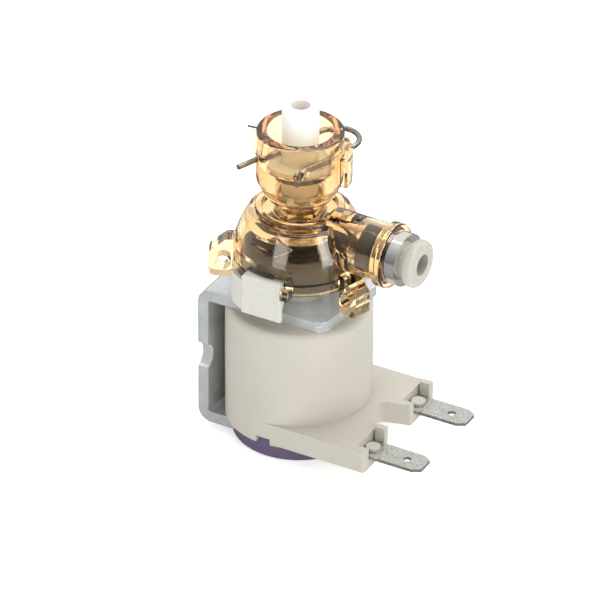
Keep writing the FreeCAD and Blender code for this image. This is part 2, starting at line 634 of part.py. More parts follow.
def guard():
    """Curved guard beside the collar, joined to it by webs at its two ends."""
    bow = ring(GUARD_R, GUARD_R - GUARD_T, GUARD_BOTTOM, GUARD_TOP)
    webs = ring(GUARD_R - GUARD_T / 2, COLLAR_R - GUARD_T, GUARD_BOTTOM, GUARD_TOP)
    span = math.radians(GUARD_TO - GUARD_FROM)
    reach = 2 * GUARD_R
    wedge = prism([(0, 0), (reach, 0), (reach * math.cos(span), reach * math.sin(span))],
                  GUARD_BOTTOM, GUARD_TOP)
    window = block(0, reach, GUARD_T, reach, GUARD_BOTTOM - CUT_OVER, GUARD_TOP - GUARD_T)
    piece = bow.common(wedge).fuse(webs.common(wedge).cut(window))
    return turned(piece, GUARD_FROM)


def fin():
    """Thin upright fin on the collar's far side."""
    inner_r = COLLAR_R - GUARD_T
    side = [V(inner_r, 0, FIN_BOTTOM - FIN_SLANT), V(GUARD_R, 0, FIN_BOTTOM + FIN_SLANT),
            V(GUARD_R, 0, FIN_TOP), V(inner_r, 0, COLLAR_TOP)]
    plate = Part.Face(Part.makePolygon(side + side[:1])).extrude(V(0, FIN_T, 0))
    plate.translate(V(0, -FIN_T / 2, 0))
    return turned(plate, FIN_TURN)


def arrow():
    """Raised flow arrow that follows the dome's skirt."""
    upper = [(ARROW_TAIL, ARROW_SHAFT), (ARROW_NECK, ARROW_SHAFT), (ARROW_NECK, ARROW_HEAD),
             (ARROW_TIP, 0)]
    outline = upper + [(x, -rise) for x, rise in reversed(upper[:-1])]
    front = -2 * BODY_R
    loop = [V(x, front, ARROW_Z + rise) for x, rise in outline]
    plan = Part.Face(Part.makePolygon(loop + loop[:1])).extrude(V(0, -front, 0))
    core = [(SHOULDER_R - ARROW_SUNK, SHOULDER_Z), (BODY_R - ARROW_SUNK, SKIRT_TOP)]
    return plan.common(revolved(dome_arc(ARROW_RAISE) + core))


def stop_lug():
    """Lug beside the front hook block that ends the body's bayonet turn."""
    lug = block(HOOK_RIGHT + SEAT_GAP, STOP_RIGHT, -STOP_REACH, -BODY_R / 2,
                SKIRT_BOTTOM, STOP_TOP)
    return lug.cut(cylinder(BODY_R - SKIRT_WALL / 2, 0, STOP_TOP + CUT_OVER))


def bayonet_pocket():
    """Room in the skirt for the front hook's lip."""
    pocket = block(HOOK_LEFT - SEAT_GAP, HOOK_RIGHT + SEAT_GAP, -BODY_R - CUT_OVER, -BODY_R / 2,
                   LIP_BOTTOM - SEAT_GAP, HOOK_TOP + SEAT_GAP)
    return pocket.cut(cylinder(BODY_R - HOOK_LIP - SEAT_GAP, 0, HOOK_TOP + CUT_OVER))


def clip_path(radius_gap):
    """Swept wire of the retaining clip, grown by a gap, in the collar's frame."""
    half = CLIP_HALF
    flare = math.radians(CLIP_FLARE)
    trim = CLIP_BEND_R * math.tan(flare / 2)
    onward = V(math.cos(flare), math.sin(flare), 0)
    corner = V(CLIP_BEND, half, CLIP_Z)
    tip = corner + onward * CLIP_FLARE_L
    bend_out = corner + onward * trim
    bend_in = V(CLIP_BEND - trim, half, CLIP_Z)
    bend_mid = bend_in + V(math.sin(flare / 2), 1 - math.cos(flare / 2), 0) * CLIP_BEND_R
    near_start = V(-CLIP_LOOP, half, CLIP_Z)
    apex = V(-CLIP_LOOP - half, 0, CLIP_Z)
    far_start = V(-CLIP_LOOP, -half, CLIP_Z)
    runs = [Part.LineSegment(tip, bend_out), Part.Arc(bend_out, bend_mid, bend_in),
            Part.LineSegment(bend_in, near_start), Part.Arc(near_start, apex, far_start),
            Part.LineSegment(far_start, V(CLIP_FAR_LEG, -half, CLIP_Z))]
    section = Part.Wire(Part.makeCircle(CLIP_WIRE_R + radius_gap, tip, onward))
    wire = Part.Wire([run.toShape() for run in runs]).makePipeShell([section], True, False)
    return turned(wire, CLIP_TURN)


def clip_slot():
    """Slot in the collar's wall for the leg that turns outwards."""
    flare = math.radians(CLIP_FLARE)
    start = V(CLIP_BEND, CLIP_HALF, CLIP_Z)
    reach = V(math.cos(flare), math.sin(flare), 0)
    slot = Part.makeCylinder(CLIP_WIRE_R + CLIP_SLOT_GAP, CLIP_FLARE_L, start, reach)
    return turned(slot, CLIP_TURN)


def make_retaining_clip():
    """Wire clip that holds the inlet stub in the collar."""
    return clip_path(0)


def make_valve_body():
    """The moulded body with outlet barrel, ears, guards, arrow and the clip's holes."""
    shell = body_shell()
    turned_parts = [outlet_barrel(), arrow(), ear(EAR_LEFT_TURN, 0), ear(EAR_RIGHT_TURN, EAR_RIGHT_DROP)]
    shell = shell.fuse([turned(piece, BODY_TURN) for piece in turned_parts]
                       + [guard(), fin(), stop_lug()])
    nozzle_clear = cylinder(NOZZLE_R, SEAT_Z, CEILING_Z)
    bore = along_outlet(OUTLET_BORE_R, OUTLET_BORE_START, OUTLET_END + CUT_OVER)
    port = along_outlet(OUTLET_STOP_R, 0, OUTLET_BORE_START + CUT_OVER)
    shell = shell.cut(revolved(chamber_line() + [(NOZZLE_R, BODY_BOTTOM)]))
    pocket = bayonet_pocket()
    shell = shell.cut([pocket, turned(pocket, 180)])
    shell = shell.cut([turned(bore, BODY_TURN), turned(port.cut(nozzle_clear), BODY_TURN)])
    shell = shell.cut(clip_path(CLIP_HOLE_GAP)).cut(clip_slot())
    shell = shell.cut(cylinder(CHANNEL_R, SEAT_Z - CUT_OVER, SEAL_BORE_FLOOR + CUT_OVER))
    return shell.removeSplitter()


# ---- inside the body -------------------------------------------------------------------------
def make_body_seal():
    """Rubber ring between the body's skirt and the guide tube's flange."""
    return ring(SEAL_R, SEAL_IN_R, FLANGE_TOP, BODY_BOTTOM)


def make_diaphragm():
    """Rubber cup: upright side on the seal ring's line, shoulder, and a web up to the insert."""
    outer_r = BODY_R - BODY_WALL - SOFT_GAP
    low = BODY_BOTTOM + SOFT_GAP
    upper = [(outer_r, low), (outer_r, BODY_BOTTOM + CUP_H),
             (CUP_SHOULDER_R, BODY_BOTTOM + CUP_SHOULDER_H), (WEB_IN_R + WEB_FLAT, WEB_TOP),
             (WEB_IN_R, WEB_TOP)]
    under = [(WEB_IN_R, WEB_TOP - WEB_T), (WEB_IN_R + WEB_FLAT, WEB_TOP - WEB_T),
             (CUP_SHOULDER_R - WEB_T / 2, BODY_BOTTOM + CUP_SHOULDER_H - WEB_T),
             (outer_r - WEB_T, BODY_BOTTOM + CUP_H - WEB_T / 2), (outer_r - WEB_T, low)]
    return revolved(upper + under)


def make_diaphragm_insert():
    """Stiff centre of the diaphragm: seat disc, hub and pilot hole."""
    top = SEAT_Z - RUNNING_GAP
    hub_bottom = PLUNGER_TOP + PLUNGER_NOSE_H + RUNNING_GAP
    disc = cylinder(INSERT_R, WEB_TOP + RUNNING_GAP, top)
    insert = disc.fuse(cylinder(WEB_IN_R - SOFT_GAP, WEB_TOP - WEB_T, top))
    insert = insert.fuse(cylinder(INSERT_HUB_R, hub_bottom, WEB_TOP))
    return insert.cut(cylinder(PILOT_R, hub_bottom - CUT_OVER, top + CUT_OVER))


def make_inlet_seal():
    """O-ring round the inlet stub, drawn as a barrel-sided ring in its bore."""
    outer = SEAL_BORE_R - RING_GAP
    inner = STUB_R + RING_GAP
    middle = SOCKET_FLOOR - INLET_SEAL_T / 2 - SEAT_GAP
    section = (outer - inner) / 2
    return torus(inner + section, section, middle)


def make_inlet_stub():
    """Inlet tube with the flange that the clip holds down, and a groove for the clip's legs."""
    tube = ring(STUB_R, STUB_BORE_R, STUB_BOTTOM, STUB_TOP)
    flange_top = STUB_FLANGE_Z + STUB_FLANGE_T
    flange = ring(STUB_FLANGE_R, STUB_BORE_R, STUB_FLANGE_Z, flange_top)
    groove = ring(STUB_R + CUT_OVER, STUB_GROOVE_R, flange_top, CLIP_Z + CLIP_WIRE_R + SEAT_GAP)
    return tube.fuse(flange).cut(groove).removeSplitter()


def make_inlet_filter():
    """Thimble filter standing in the inlet channel under the stub."""
    outer = CHANNEL_R - RUNNING_GAP
    top = SEAL_BORE_FLOOR
    cup = cylinder(outer, top - FILTER_H, top)
    cup = cup.cut(cylinder(outer - FILTER_WALL, top - FILTER_H + FILTER_WALL, top + CUT_OVER))
    brim = ring(STUB_R, outer - FILTER_WALL, top, top + FILTER_WALL)
    return cup.fuse(brim)


# ---- push-in outlet --------------------------------------------------------------------------
def outlet_ring(outer, inner, start, end):
    """Ring on the outlet's axis."""
    return along_outlet(outer, start, end).cut(along_outlet(inner, start - CUT_OVER, end + CUT_OVER))


def make_outlet_spacer():
    """Clear ring at the bottom of the outlet's bore, which the seal rests on."""
    return turned(outlet_ring(OUTLET_BORE_R - RUNNING_GAP, COLLET_BORE_R + SPACER_CLEAR,
                              OUTLET_BORE_START, OUTLET_BORE_START + SPACER_L), BODY_TURN)


def make_outlet_seal():
    """Rubber lip seal on the spacer, a broad band against the bore."""
    start = OUTLET_BORE_START + SPACER_L
    band = outlet_ring(OUTLET_BORE_R - RING_GAP, OUTLET_SEAL_BORE_R, start, start + OUTLET_SEAL_L)
    band = rounded(band, OUTLET_SEAL_EDGE_R, lambda edge: edge.Curve.TypeId == "Part::GeomCircle"
                   and edge.CenterOfMass.x > start + OUTLET_SEAL_L / 2)
    return turned(band, BODY_TURN)


def cartridge_start():
    """Inner end of the cartridge ring's shank."""
    return OUTLET_END - CARTRIDGE_SHANK


def make_cartridge_ring():
    """Plated ring pressed into the barrel, which holds the collet."""
    shank = outlet_ring(OUTLET_BORE_R - RUNNING_GAP, CARTRIDGE_BORE_R, cartridge_start(), OUTLET_END)
    head = outlet_ring(CARTRIDGE_R, CARTRIDGE_BORE_R, OUTLET_END, CARTRIDGE_END)
    return turned(shank.fuse(head).removeSplitter(), BODY_TURN)


def make_collet():
    """Release collet: flanged sleeve that slides in the cartridge ring."""
    face_start = COLLET_FACE - COLLET_FLANGE_T
    sleeve_r = CARTRIDGE_BORE_R - RUNNING_GAP
    sleeve_start = cartridge_start() + COLLET_STROKE + SEAT_GAP
    sleeve = outlet_ring(sleeve_r, COLLET_BORE_R, sleeve_start, face_start + CUT_OVER)
    flange = outlet_ring(COLLET_R, COLLET_BORE_R, face_start, COLLET_FACE)
    flange = rounded(flange, COLLET_EDGE_R, lambda edge: edge.Curve.TypeId == "Part::GeomCircle"
                     and abs(edge.Curve.Radius - COLLET_R) < 1e-4)
    return turned(sleeve.fuse(flange).removeSplitter(), BODY_TURN)


def make_collet_teeth():
    """Steel gripping ring at the collet's inner end."""
    start = cartridge_start() + COLLET_STROKE + SEAT_GAP - TEETH_T
    teeth = outlet_ring(CARTRIDGE_BORE_R - TEETH_IN, COLLET_BORE_R, start, start + TEETH_T)
    return turned(teeth, BODY_TURN)


# ---- output ----------------------------------------------------------------------------------
def build():
    """All pieces by node name."""
    return {
        "end_cap": make_end_cap(),
        "yoke": make_yoke(),
        "coil_overmould": make_coil_overmould(),
        "bobbin": make_bobbin(),
        "winding": make_winding(),
        "flux_sleeve": make_flux_sleeve(),
        "tab_front": make_tab(-1, TAB_BEAD_X[0]),
        "tab_rear": make_tab(1, TAB_BEAD_X[1]),
        "guide_tube": make_guide_tube(),
        "fixed_core": make_fixed_core(),
        "plunger": make_plunger(),
        "plunger_seal": make_plunger_seal(),
        "plunger_spring": make_plunger_spring(),
        "body_seal": make_body_seal(),
        "diaphragm": make_diaphragm(),
        "diaphragm_insert": make_diaphragm_insert(),
        "valve_body": make_valve_body(),
        "inlet_filter": make_inlet_filter(),
        "inlet_seal": make_inlet_seal(),
        "inlet_stub": make_inlet_stub(),
        "retaining_clip": make_retaining_clip(),
        "outlet_seal": make_outlet_seal(),
        "outlet_spacer": make_outlet_spacer(),
        "cartridge_ring": make_cartridge_ring(),
        "collet": make_collet(),
        "collet_teeth": make_collet_teeth(),
    }


os.makedirs("parts", exist_ok=True)
for node, shape in build().items():
    if len(shape.Solids) != 1 or not shape.isValid():
        print("CHECK", node, "solids", len(shape.Solids), "valid", shape.isValid())
    shape.exportStep("parts/%s.step" % node)
    print(node, "volume %.1f mm3" % shape.Volume)
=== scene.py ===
"""Looks of the solenoid water valve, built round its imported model. Metres, +Z up."""
import math
import bpy
import numpy as np
from mathutils import Matrix, Vector


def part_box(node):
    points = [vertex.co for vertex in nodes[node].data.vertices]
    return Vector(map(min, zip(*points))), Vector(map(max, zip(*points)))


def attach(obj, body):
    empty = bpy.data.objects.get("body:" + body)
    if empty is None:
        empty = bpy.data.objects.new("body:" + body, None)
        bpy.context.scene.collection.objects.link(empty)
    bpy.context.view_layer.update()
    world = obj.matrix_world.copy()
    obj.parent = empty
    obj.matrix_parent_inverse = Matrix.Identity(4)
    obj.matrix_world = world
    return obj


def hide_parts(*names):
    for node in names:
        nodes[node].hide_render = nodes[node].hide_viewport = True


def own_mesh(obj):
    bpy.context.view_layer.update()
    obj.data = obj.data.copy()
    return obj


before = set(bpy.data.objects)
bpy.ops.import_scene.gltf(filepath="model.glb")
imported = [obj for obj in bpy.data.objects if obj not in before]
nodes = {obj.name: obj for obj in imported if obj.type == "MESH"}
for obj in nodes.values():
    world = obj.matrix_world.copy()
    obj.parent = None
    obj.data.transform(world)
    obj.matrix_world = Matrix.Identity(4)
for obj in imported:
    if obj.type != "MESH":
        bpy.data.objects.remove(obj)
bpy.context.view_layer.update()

# ---- camera and light --------------------------------------------------------------------------
VIEW_TURN = math.radians(28.83)     # the camera's turn about +Z from straight in front
VIEW_TILT = math.radians(32.12)     # how far it looks down
VIEW_ROLL = math.radians(-0.359)
VIEW_DISTANCE = 1.2207
VIEW_HEIGHT = 0.0327           # level of the point it aims at
VIEW_ASIDE = 0.000135          # how far that point is to the right of the valve's axis
SENSOR_MM = 36.0
FRAME_WIDTH = 0.13196          # metres across the frame at the aimed distance
ROOM_FRONT, ROOM_BACK = 0.10, 0.85  # brightness of the room behind the camera and behind the valve
ROOM_LEAN = 0.25               # how much the room also brightens upwards
ROOM_START, ROOM_END = -0.7, 0.5    # share of the way back where the change starts and ends
LAMP_LEVEL = 0.04              # level that the softboxes aim at
SOFTBOXES = (                  # name, turn and tilt in degrees, distance, width, height, watts
    ("softbox_left", -34, 20, 0.9, 0.38, 0.80, 2.7),
    ("softbox_right", 46, 20, 0.9, 0.30, 0.80, 3.9),
    ("softbox_top", 120, 72, 1.0, 1.0, 1.0, 9.0),
)
FLOOR_HALF = 3.0               # half the floor's side
FLOOR_WHITE = (0.92, 0.92, 0.92)
FLOOR_MIRRORED = (0.24, 0.24, 0.24)  # its colour in reflections, which stay darker than the floor
FLOOR_ROUGHNESS = 0.9
FLOOR_GLOW = 0.5               # light that the floor gives, but not to reflections


def camera():
    """Camera on a sphere about the valve. Its right, up and back axes come from turn and tilt, and
    are then rolled about the way it looks."""
    right = Vector((math.cos(VIEW_TURN), math.sin(VIEW_TURN), 0))
    level = Vector((-math.sin(VIEW_TURN), math.cos(VIEW_TURN), 0))
    ahead = level * math.cos(VIEW_TILT) - Vector((0, 0, math.sin(VIEW_TILT)))
    up = right.cross(ahead)
    spin = Matrix.Rotation(VIEW_ROLL, 3, ahead)
    axes = Matrix((spin @ right, spin @ up, -ahead)).transposed()
    aim = Vector((0, 0, VIEW_HEIGHT)) + right * VIEW_ASIDE
    data = bpy.data.cameras.new("view")
    data.sensor_width = SENSOR_MM
    data.lens = VIEW_DISTANCE / FRAME_WIDTH * SENSOR_MM
    data.clip_start, data.clip_end = 0.1, 20
    eye = bpy.data.objects.new("view", data)
    eye.matrix_world = Matrix.Translation(aim - ahead * VIEW_DISTANCE) @ axes.to_4x4()
    bpy.context.scene.collection.objects.link(eye)
    bpy.context.scene.camera = eye
    bpy.context.scene.view_settings.view_transform = "Standard"


def softbox(name, turn, tilt, distance, wide, high, power):
    """White rectangular light aimed at the valve. Its turn about Z starts at the camera's side."""
    around = VIEW_TURN + math.radians(turn)
    lift = math.radians(tilt)
    out = Vector((math.sin(around) * math.cos(lift), -math.cos(around) * math.cos(lift),
                  math.sin(lift)))
    data = bpy.data.lights.new(name, "AREA")
    data.shape, data.size, data.size_y = "RECTANGLE", wide, high
    data.energy = power
    lamp = bpy.data.objects.new(name, data)
    lamp.location = Vector((0, 0, LAMP_LEVEL)) + out * distance
    lamp.rotation_euler = out.to_track_quat("Z", "Y").to_euler()
    bpy.context.scene.collection.objects.link(lamp)


def light_room():
    """White surroundings, dim behind the camera and bright behind the valve."""
    world = bpy.data.worlds.new("room")
    bpy.context.scene.world = world
    world.use_nodes = True
    tree = world.node_tree
    toward = tree.nodes.new("ShaderNodeTexCoord").outputs["Generated"]
    along = add(tree, "ShaderNodeVectorMath", {0: toward}, operation="DOT_PRODUCT")
    along.inputs[1].default_value = (-math.sin(VIEW_TURN), math.cos(VIEW_TURN), ROOM_LEAN)
    shade = add(tree, "ShaderNodeMapRange", {
        "Value": along.outputs["Value"], "From Min": ROOM_START, "From Max": ROOM_END,
        "To Min": ROOM_FRONT, "To Max": ROOM_BACK})
    tree.links.new(shade.outputs["Result"], tree.nodes["Background"].inputs["Strength"])
    tree.nodes["Background"].inputs["Color"].default_value = (1.0, 1.0, 1.0, 1)
    for lamp in SOFTBOXES:
        softbox(*lamp)


def lay_floor():
    """Pale floor that glows a little. Mirrored rays, which are glossy ones without those that pass
    through clear plastic, see it darker and without the glow."""
    side = FLOOR_HALF
    mesh = bpy.data.meshes.new("floor")
    mesh.from_pydata([(-side, -side, 0), (side, -side, 0), (side, side, 0), (-side, side, 0)], [],
                     [(0, 1, 2, 3)])
    floor = bpy.data.objects.new("floor", mesh)
    bpy.context.scene.collection.objects.link(floor)
    tree, shader = material("floor_white", FLOOR_WHITE, FLOOR_ROUGHNESS)
    shader.inputs["Emission Color"].default_value = (1, 1, 1, 1)
    path = add(tree, "ShaderNodeLightPath")
    mirrored = add(tree, "ShaderNodeMath", {0: path.outputs["Is Glossy Ray"],
                                            1: path.outputs["Is Transmission Ray"]},
                   operation="SUBTRACT", use_clamp=True).outputs[0]
    glow = add(tree, "ShaderNodeMapRange", {"Value": mirrored, "To Min": FLOOR_GLOW,
                                            "To Max": 0.0})
    tree.links.new(glow.outputs["Result"], shader.inputs["Emission Strength"])
    tinted(tree, shader, mirrored, FLOOR_WHITE, FLOOR_MIRRORED)
    mesh.materials.append(FINISH["floor_white"])


# ---- shared effects, as node groups ------------------------------------------------------------
NOISE_TURN = (0.61, 0.43, 0.92)  # turns the noise off the axes, so flat faces don't show its grid
DOT_LEVEL = 0.80               # noise level that hardly any point passes
DOT_DETAIL, DOT_GRAIN = 3.0, 0.65
CLOUD_DETAIL = 4.0
BEVEL_RAYS = 6
EFFECTS = {}                   # the groups by name
FINISH = {}                    # the materials by name, which is the slot name in model.glb


def new_group(name, inputs, outputs):
    """Empty shader node group with number inputs (name, value) and outputs (name, kind). Gives
    also its two end nodes and the point of the surface, turned by NOISE_TURN."""
    group = bpy.data.node_groups.new(name, "ShaderNodeTree")
    for label, value in inputs:
        socket = group.interface.new_socket(label, in_out="INPUT", socket_type="NodeSocketFloat")
        socket.default_value = value
    for label, kind in outputs:
        group.interface.new_socket(label, in_out="OUTPUT", socket_type="NodeSocket" + kind)
    start = group.nodes.new("NodeGroupInput")
    end = group.nodes.new("NodeGroupOutput")
    raw = group.nodes.new("ShaderNodeTexCoord").outputs["Object"]
    turned = add(group, "ShaderNodeMapping", {"Vector": raw, "Rotation": NOISE_TURN})
    return group, start, end, turned.outputs["Vector"]


def add(tree, kind, values=(), **settings):
    """New node with its settings and the values or links of its inputs."""
    node = tree.nodes.new(kind)
    for key, value in settings.items():
        setattr(node, key, value)
    for key, value in dict(values).items():
        if isinstance(value, bpy.types.NodeSocket):
            tree.links.new(value, node.inputs[key])
        else:
            node.inputs[key].default_value = value
    return node


def speckle_group():
    """Mask of sparse small dots: noise above a threshold that falls as Amount grows."""
    group, start, end, place = new_group(
        "speckle", [("Size", 0.001), ("Amount", 0.1), ("Softness", 0.05)], [("Mask", "Float")])
    scale = add(group, "ShaderNodeMath", {0: 1.0, 1: start.outputs["Size"]}, operation="DIVIDE")
    noise = add(group, "ShaderNodeTexNoise", {"Vector": place, "Scale": scale.outputs[0],
                                              "Detail": DOT_DETAIL, "Roughness": DOT_GRAIN})
    low = add(group, "ShaderNodeMath", {0: DOT_LEVEL, 1: start.outputs["Amount"]},
              operation="SUBTRACT")
    high = add(group, "ShaderNodeMath", {0: low.outputs[0], 1: start.outputs["Softness"]},
               operation="ADD")
    mask = add(group, "ShaderNodeMapRange", {
        "Value": noise.outputs["Fac"], "From Min": low.outputs[0], "From Max": high.outputs[0]})
    group.links.new(mask.outputs["Result"], end.inputs["Mask"])
    return group


def clouds_group():
    """Broad soft variation from 0 to 1: noise, spread about its middle by Contrast."""
    group, start, end, place = new_group(
        "clouds", [("Size", 0.01), ("Contrast", 1.0)], [("Mask", "Float")])
    scale = add(group, "ShaderNodeMath", {0: 1.0, 1: start.outputs["Size"]}, operation="DIVIDE")
    noise = add(group, "ShaderNodeTexNoise", {"Vector": place, "Scale": scale.outputs[0],
                                              "Detail": CLOUD_DETAIL})
    centred = add(group, "ShaderNodeMath", {0: noise.outputs["Fac"], 1: 0.5},
                  operation="SUBTRACT")
    grown = add(group, "ShaderNodeMath", {0: centred.outputs[0], 1: start.outputs["Contrast"]},
                operation="MULTIPLY")
    shifted = add(group, "ShaderNodeMath", {0: grown.outputs[0], 1: 0.5},
                  operation="ADD", use_clamp=True)
    group.links.new(shifted.outputs[0], end.inputs["Mask"])
    return group


def effect(tree, name, **values):
    """One of the shared groups placed in a material with its own values; gives its mask."""
    node = tree.nodes.new("ShaderNodeGroup")
    node.node_tree = EFFECTS[name]
    for key, value in values.items():
        node.inputs[key.capitalize()].default_value = value
    return node.outputs["Mask"]


def material(name, colour, roughness, **more):
    """Principled material kept in FINISH, with constants on the shader's own sockets; gives its
    tree and shader."""
    made = bpy.data.materials.new(name)
    made.use_nodes = True
    tree = made.node_tree
    shader = tree.nodes["Principled BSDF"]
    shader.inputs["Base Color"].default_value = (*colour, 1)
    shader.inputs["Roughness"].default_value = roughness
    for key, value in more.items():
        shader.inputs[key.replace("_", " ")].default_value = value
    FINISH[name] = made
    return tree, shader


def colour_mix(tree, mask):
    """Mix node for colours, driven by a mask, and its colour output."""
    mix = add(tree, "ShaderNodeMix", {"Factor": mask}, data_type="RGBA")
    return mix, [socket for socket in mix.outputs if socket.type == "RGBA"][0]


def tinted(tree, shader, mask, first, second):
    """Base colour that goes from first to second with a mask; gives that colour's socket."""
    mix, colour = colour_mix(tree, mask)
    mix.inputs["A"].default_value = (*first, 1)
    mix.inputs["B"].default_value = (*second, 1)
    tree.links.new(colour, shader.inputs["Base Color"])
    return colour


def roughened(tree, shader, mask, low, high):
    """Roughness between two values by a mask."""
    spread = add(tree, "ShaderNodeMapRange", {"Value": mask, "To Min": low, "To Max": high})
    tree.links.new(spread.outputs["Result"], shader.inputs["Roughness"])


def bumped(tree, shader, height, depth, edge=0.0):
    """Bump of a height mask, with its depth in metres, over edges that look rounded by a radius."""
    bump = add(tree, "ShaderNodeBump", {"Height": height, "Distance": depth, "Strength": 1.0})
    if edge:
        soft = add(tree, "ShaderNodeBevel", {"Radius": edge}, samples=BEVEL_RAYS)
        tree.links.new(soft.outputs["Normal"], bump.inputs["Normal"])
    tree.links.new(bump.outputs["Normal"], shader.inputs["Normal"])


# ---- finishes ----------------------------------------------------------------------------------
def make_plastics():
    """Moulded plastics and rubber."""
    tree, shader = material("amber_moulding", (0.96, 0.84, 0.62), 0.04,
                            Transmission_Weight=1.0, IOR=1.5,
                            Coat_Weight=0.5, Coat_IOR=1.6, Coat_Roughness=0.02)
    waves = effect(tree, "clouds", size=0.004, contrast=1.6)
    tinted(tree, shader, waves, (0.97, 0.86, 0.64), (0.93, 0.78, 0.54))
    roughened(tree, shader, waves, 0.02, 0.05)
    bumped(tree, shader, waves, 0.00005)
    tint = add(tree, "ShaderNodeVolumeAbsorption", {"Color": (0.90, 0.68, 0.38, 1),
                                                    "Density": 150.0})
    tree.links.new(tint.outputs["Volume"], tree.nodes["Material Output"].inputs["Volume"])

    tree, shader = material("clear_plastic", (0.97, 0.97, 0.96), 0.04,
                            Transmission_Weight=1.0, IOR=1.5)
    roughened(tree, shader, effect(tree, "clouds", size=0.002, contrast=1.0), 0.02, 0.06)

    tree, shader = material("white_nylon", (0.80, 0.79, 0.74), 0.38,
                            Subsurface_Weight=0.25, Subsurface_Scale=0.002)
    waves = effect(tree, "clouds", size=0.0015, contrast=1.5)
    tinted(tree, shader, waves, (0.60, 0.60, 0.56), (0.52, 0.52, 0.47))
    bumped(tree, shader, waves, 0.00003, edge=0.0003)

    tree, shader = material("natural_tube", (0.90, 0.90, 0.87), 0.35,
                            Subsurface_Weight=0.4, Subsurface_Scale=0.004)
    roughened(tree, shader, effect(tree, "clouds", size=0.001, contrast=2.0), 0.3, 0.42)

    tree, shader = material("off_white_acetal", (0.66, 0.60, 0.52), 0.34,
                            Subsurface_Weight=0.2, Subsurface_Scale=0.001)
    waves = effect(tree, "clouds", size=0.0012, contrast=1.5)
    tinted(tree, shader, waves, (0.50, 0.475, 0.42), (0.42, 0.395, 0.345))
    bumped(tree, shader, waves, 0.00003)

    tree, shader = material("dark_acetal", (0.06, 0.05, 0.04), 0.35)
    waves = effect(tree, "clouds", size=0.0012, contrast=1.5)
    tinted(tree, shader, waves, (0.07, 0.06, 0.05), (0.05, 0.04, 0.03))
    bumped(tree, shader, waves, 0.00002)

    tree, shader = material("cream_thermoset", (0.60, 0.57, 0.50), 0.5)
    broad = effect(tree, "clouds", size=0.012, contrast=1.4)
    plain = tinted(tree, shader, broad, (0.50, 0.475, 0.41), (0.45, 0.425, 0.365))
    pits = effect(tree, "speckle", size=0.0011, amount=0.085, softness=0.03)
    spots, colour = colour_mix(tree, pits)
    tree.links.new(plain, spots.inputs["A"])
    spots.inputs["B"].default_value = (0.16, 0.14, 0.11, 1)
    tree.links.new(colour, shader.inputs["Base Color"])
    roughened(tree, shader, effect(tree, "clouds", size=0.0008, contrast=2.0), 0.42, 0.6)
    bumped(tree, shader, pits, -0.00008, edge=0.00025)

    tree, shader = material("purple_plastic", (0.13, 0.09, 0.19), 0.42)
    waves = effect(tree, "clouds", size=0.001, contrast=2.0)
    tinted(tree, shader, waves, (0.135, 0.10, 0.18), (0.10, 0.075, 0.14))
    bumped(tree, shader, waves, 0.00003, edge=0.0002)

    tree, shader = material("black_rubber", (0.02, 0.02, 0.02), 0.45)
    roughened(tree, shader, effect(tree, "clouds", size=0.0008, contrast=2.0), 0.35, 0.6)


def make_metals():
    """Plated, sprung and wound metals, and the filter's mesh."""
    tree, shader = material("zinc_plate", (0.72, 0.75, 0.77), 0.2, Metallic=0.72)
    waves = effect(tree, "clouds", size=0.003, contrast=2.0)
    tinted(tree, shader, waves, (0.86, 0.89, 0.90), (0.68, 0.72, 0.74))
    roughened(tree, shader, effect(tree, "clouds", size=0.0012, contrast=2.0), 0.17, 0.27)
    bumped(tree, shader, waves, 0.00002, edge=0.0003)

    tree, shader = material("tinned_brass", (0.62, 0.62, 0.58), 0.3, Metallic=1.0)
    dots = effect(tree, "speckle", size=0.0004, amount=0.30, softness=0.10)
    tinted(tree, shader, dots, (0.60, 0.60, 0.56), (0.30, 0.30, 0.28))
    roughened(tree, shader, dots, 0.22, 0.5)
    bumped(tree, shader, dots, -0.00003, edge=0.00012)

    tree, shader = material("chrome_ring", (0.86, 0.84, 0.81), 0.05, Metallic=1.0)
    roughened(tree, shader, effect(tree, "clouds", size=0.001, contrast=2.0), 0.04, 0.10)

    tree, shader = material("spring_steel", (0.36, 0.33, 0.30), 0.32, Metallic=1.0)
    waves = effect(tree, "clouds", size=0.0007, contrast=2.5)
    tinted(tree, shader, waves, (0.45, 0.41, 0.37), (0.22, 0.20, 0.18))
    roughened(tree, shader, waves, 0.25, 0.45)
    bumped(tree, shader, waves, 0.00002)

    tree, shader = material("core_steel", (0.55, 0.55, 0.56), 0.3, Metallic=1.0)
    roughened(tree, shader, effect(tree, "clouds", size=0.0006, contrast=2.0), 0.2, 0.4)

    tree, shader = material("copper_wire", (0.60, 0.27, 0.12), 0.35, Metallic=1.0)
    roughened(tree, shader, effect(tree, "clouds", size=0.0005, contrast=2.0), 0.25, 0.5)

    tree, shader = material("filter_mesh", (0.55, 0.56, 0.57), 0.4, Metallic=1.0)
    dots = effect(tree, "speckle", size=0.0003, amount=0.25, softness=0.05)
    tinted(tree, shader, dots, (0.60, 0.61, 0.62), (0.10, 0.10, 0.10))


def dress_nodes():
    """Each CAD node's slots get the finish of the same name."""
    for node in nodes.values():
        for place, old in enumerate(node.data.materials):
            node.data.materials[place] = FINISH[old.name.split(".")[0]]


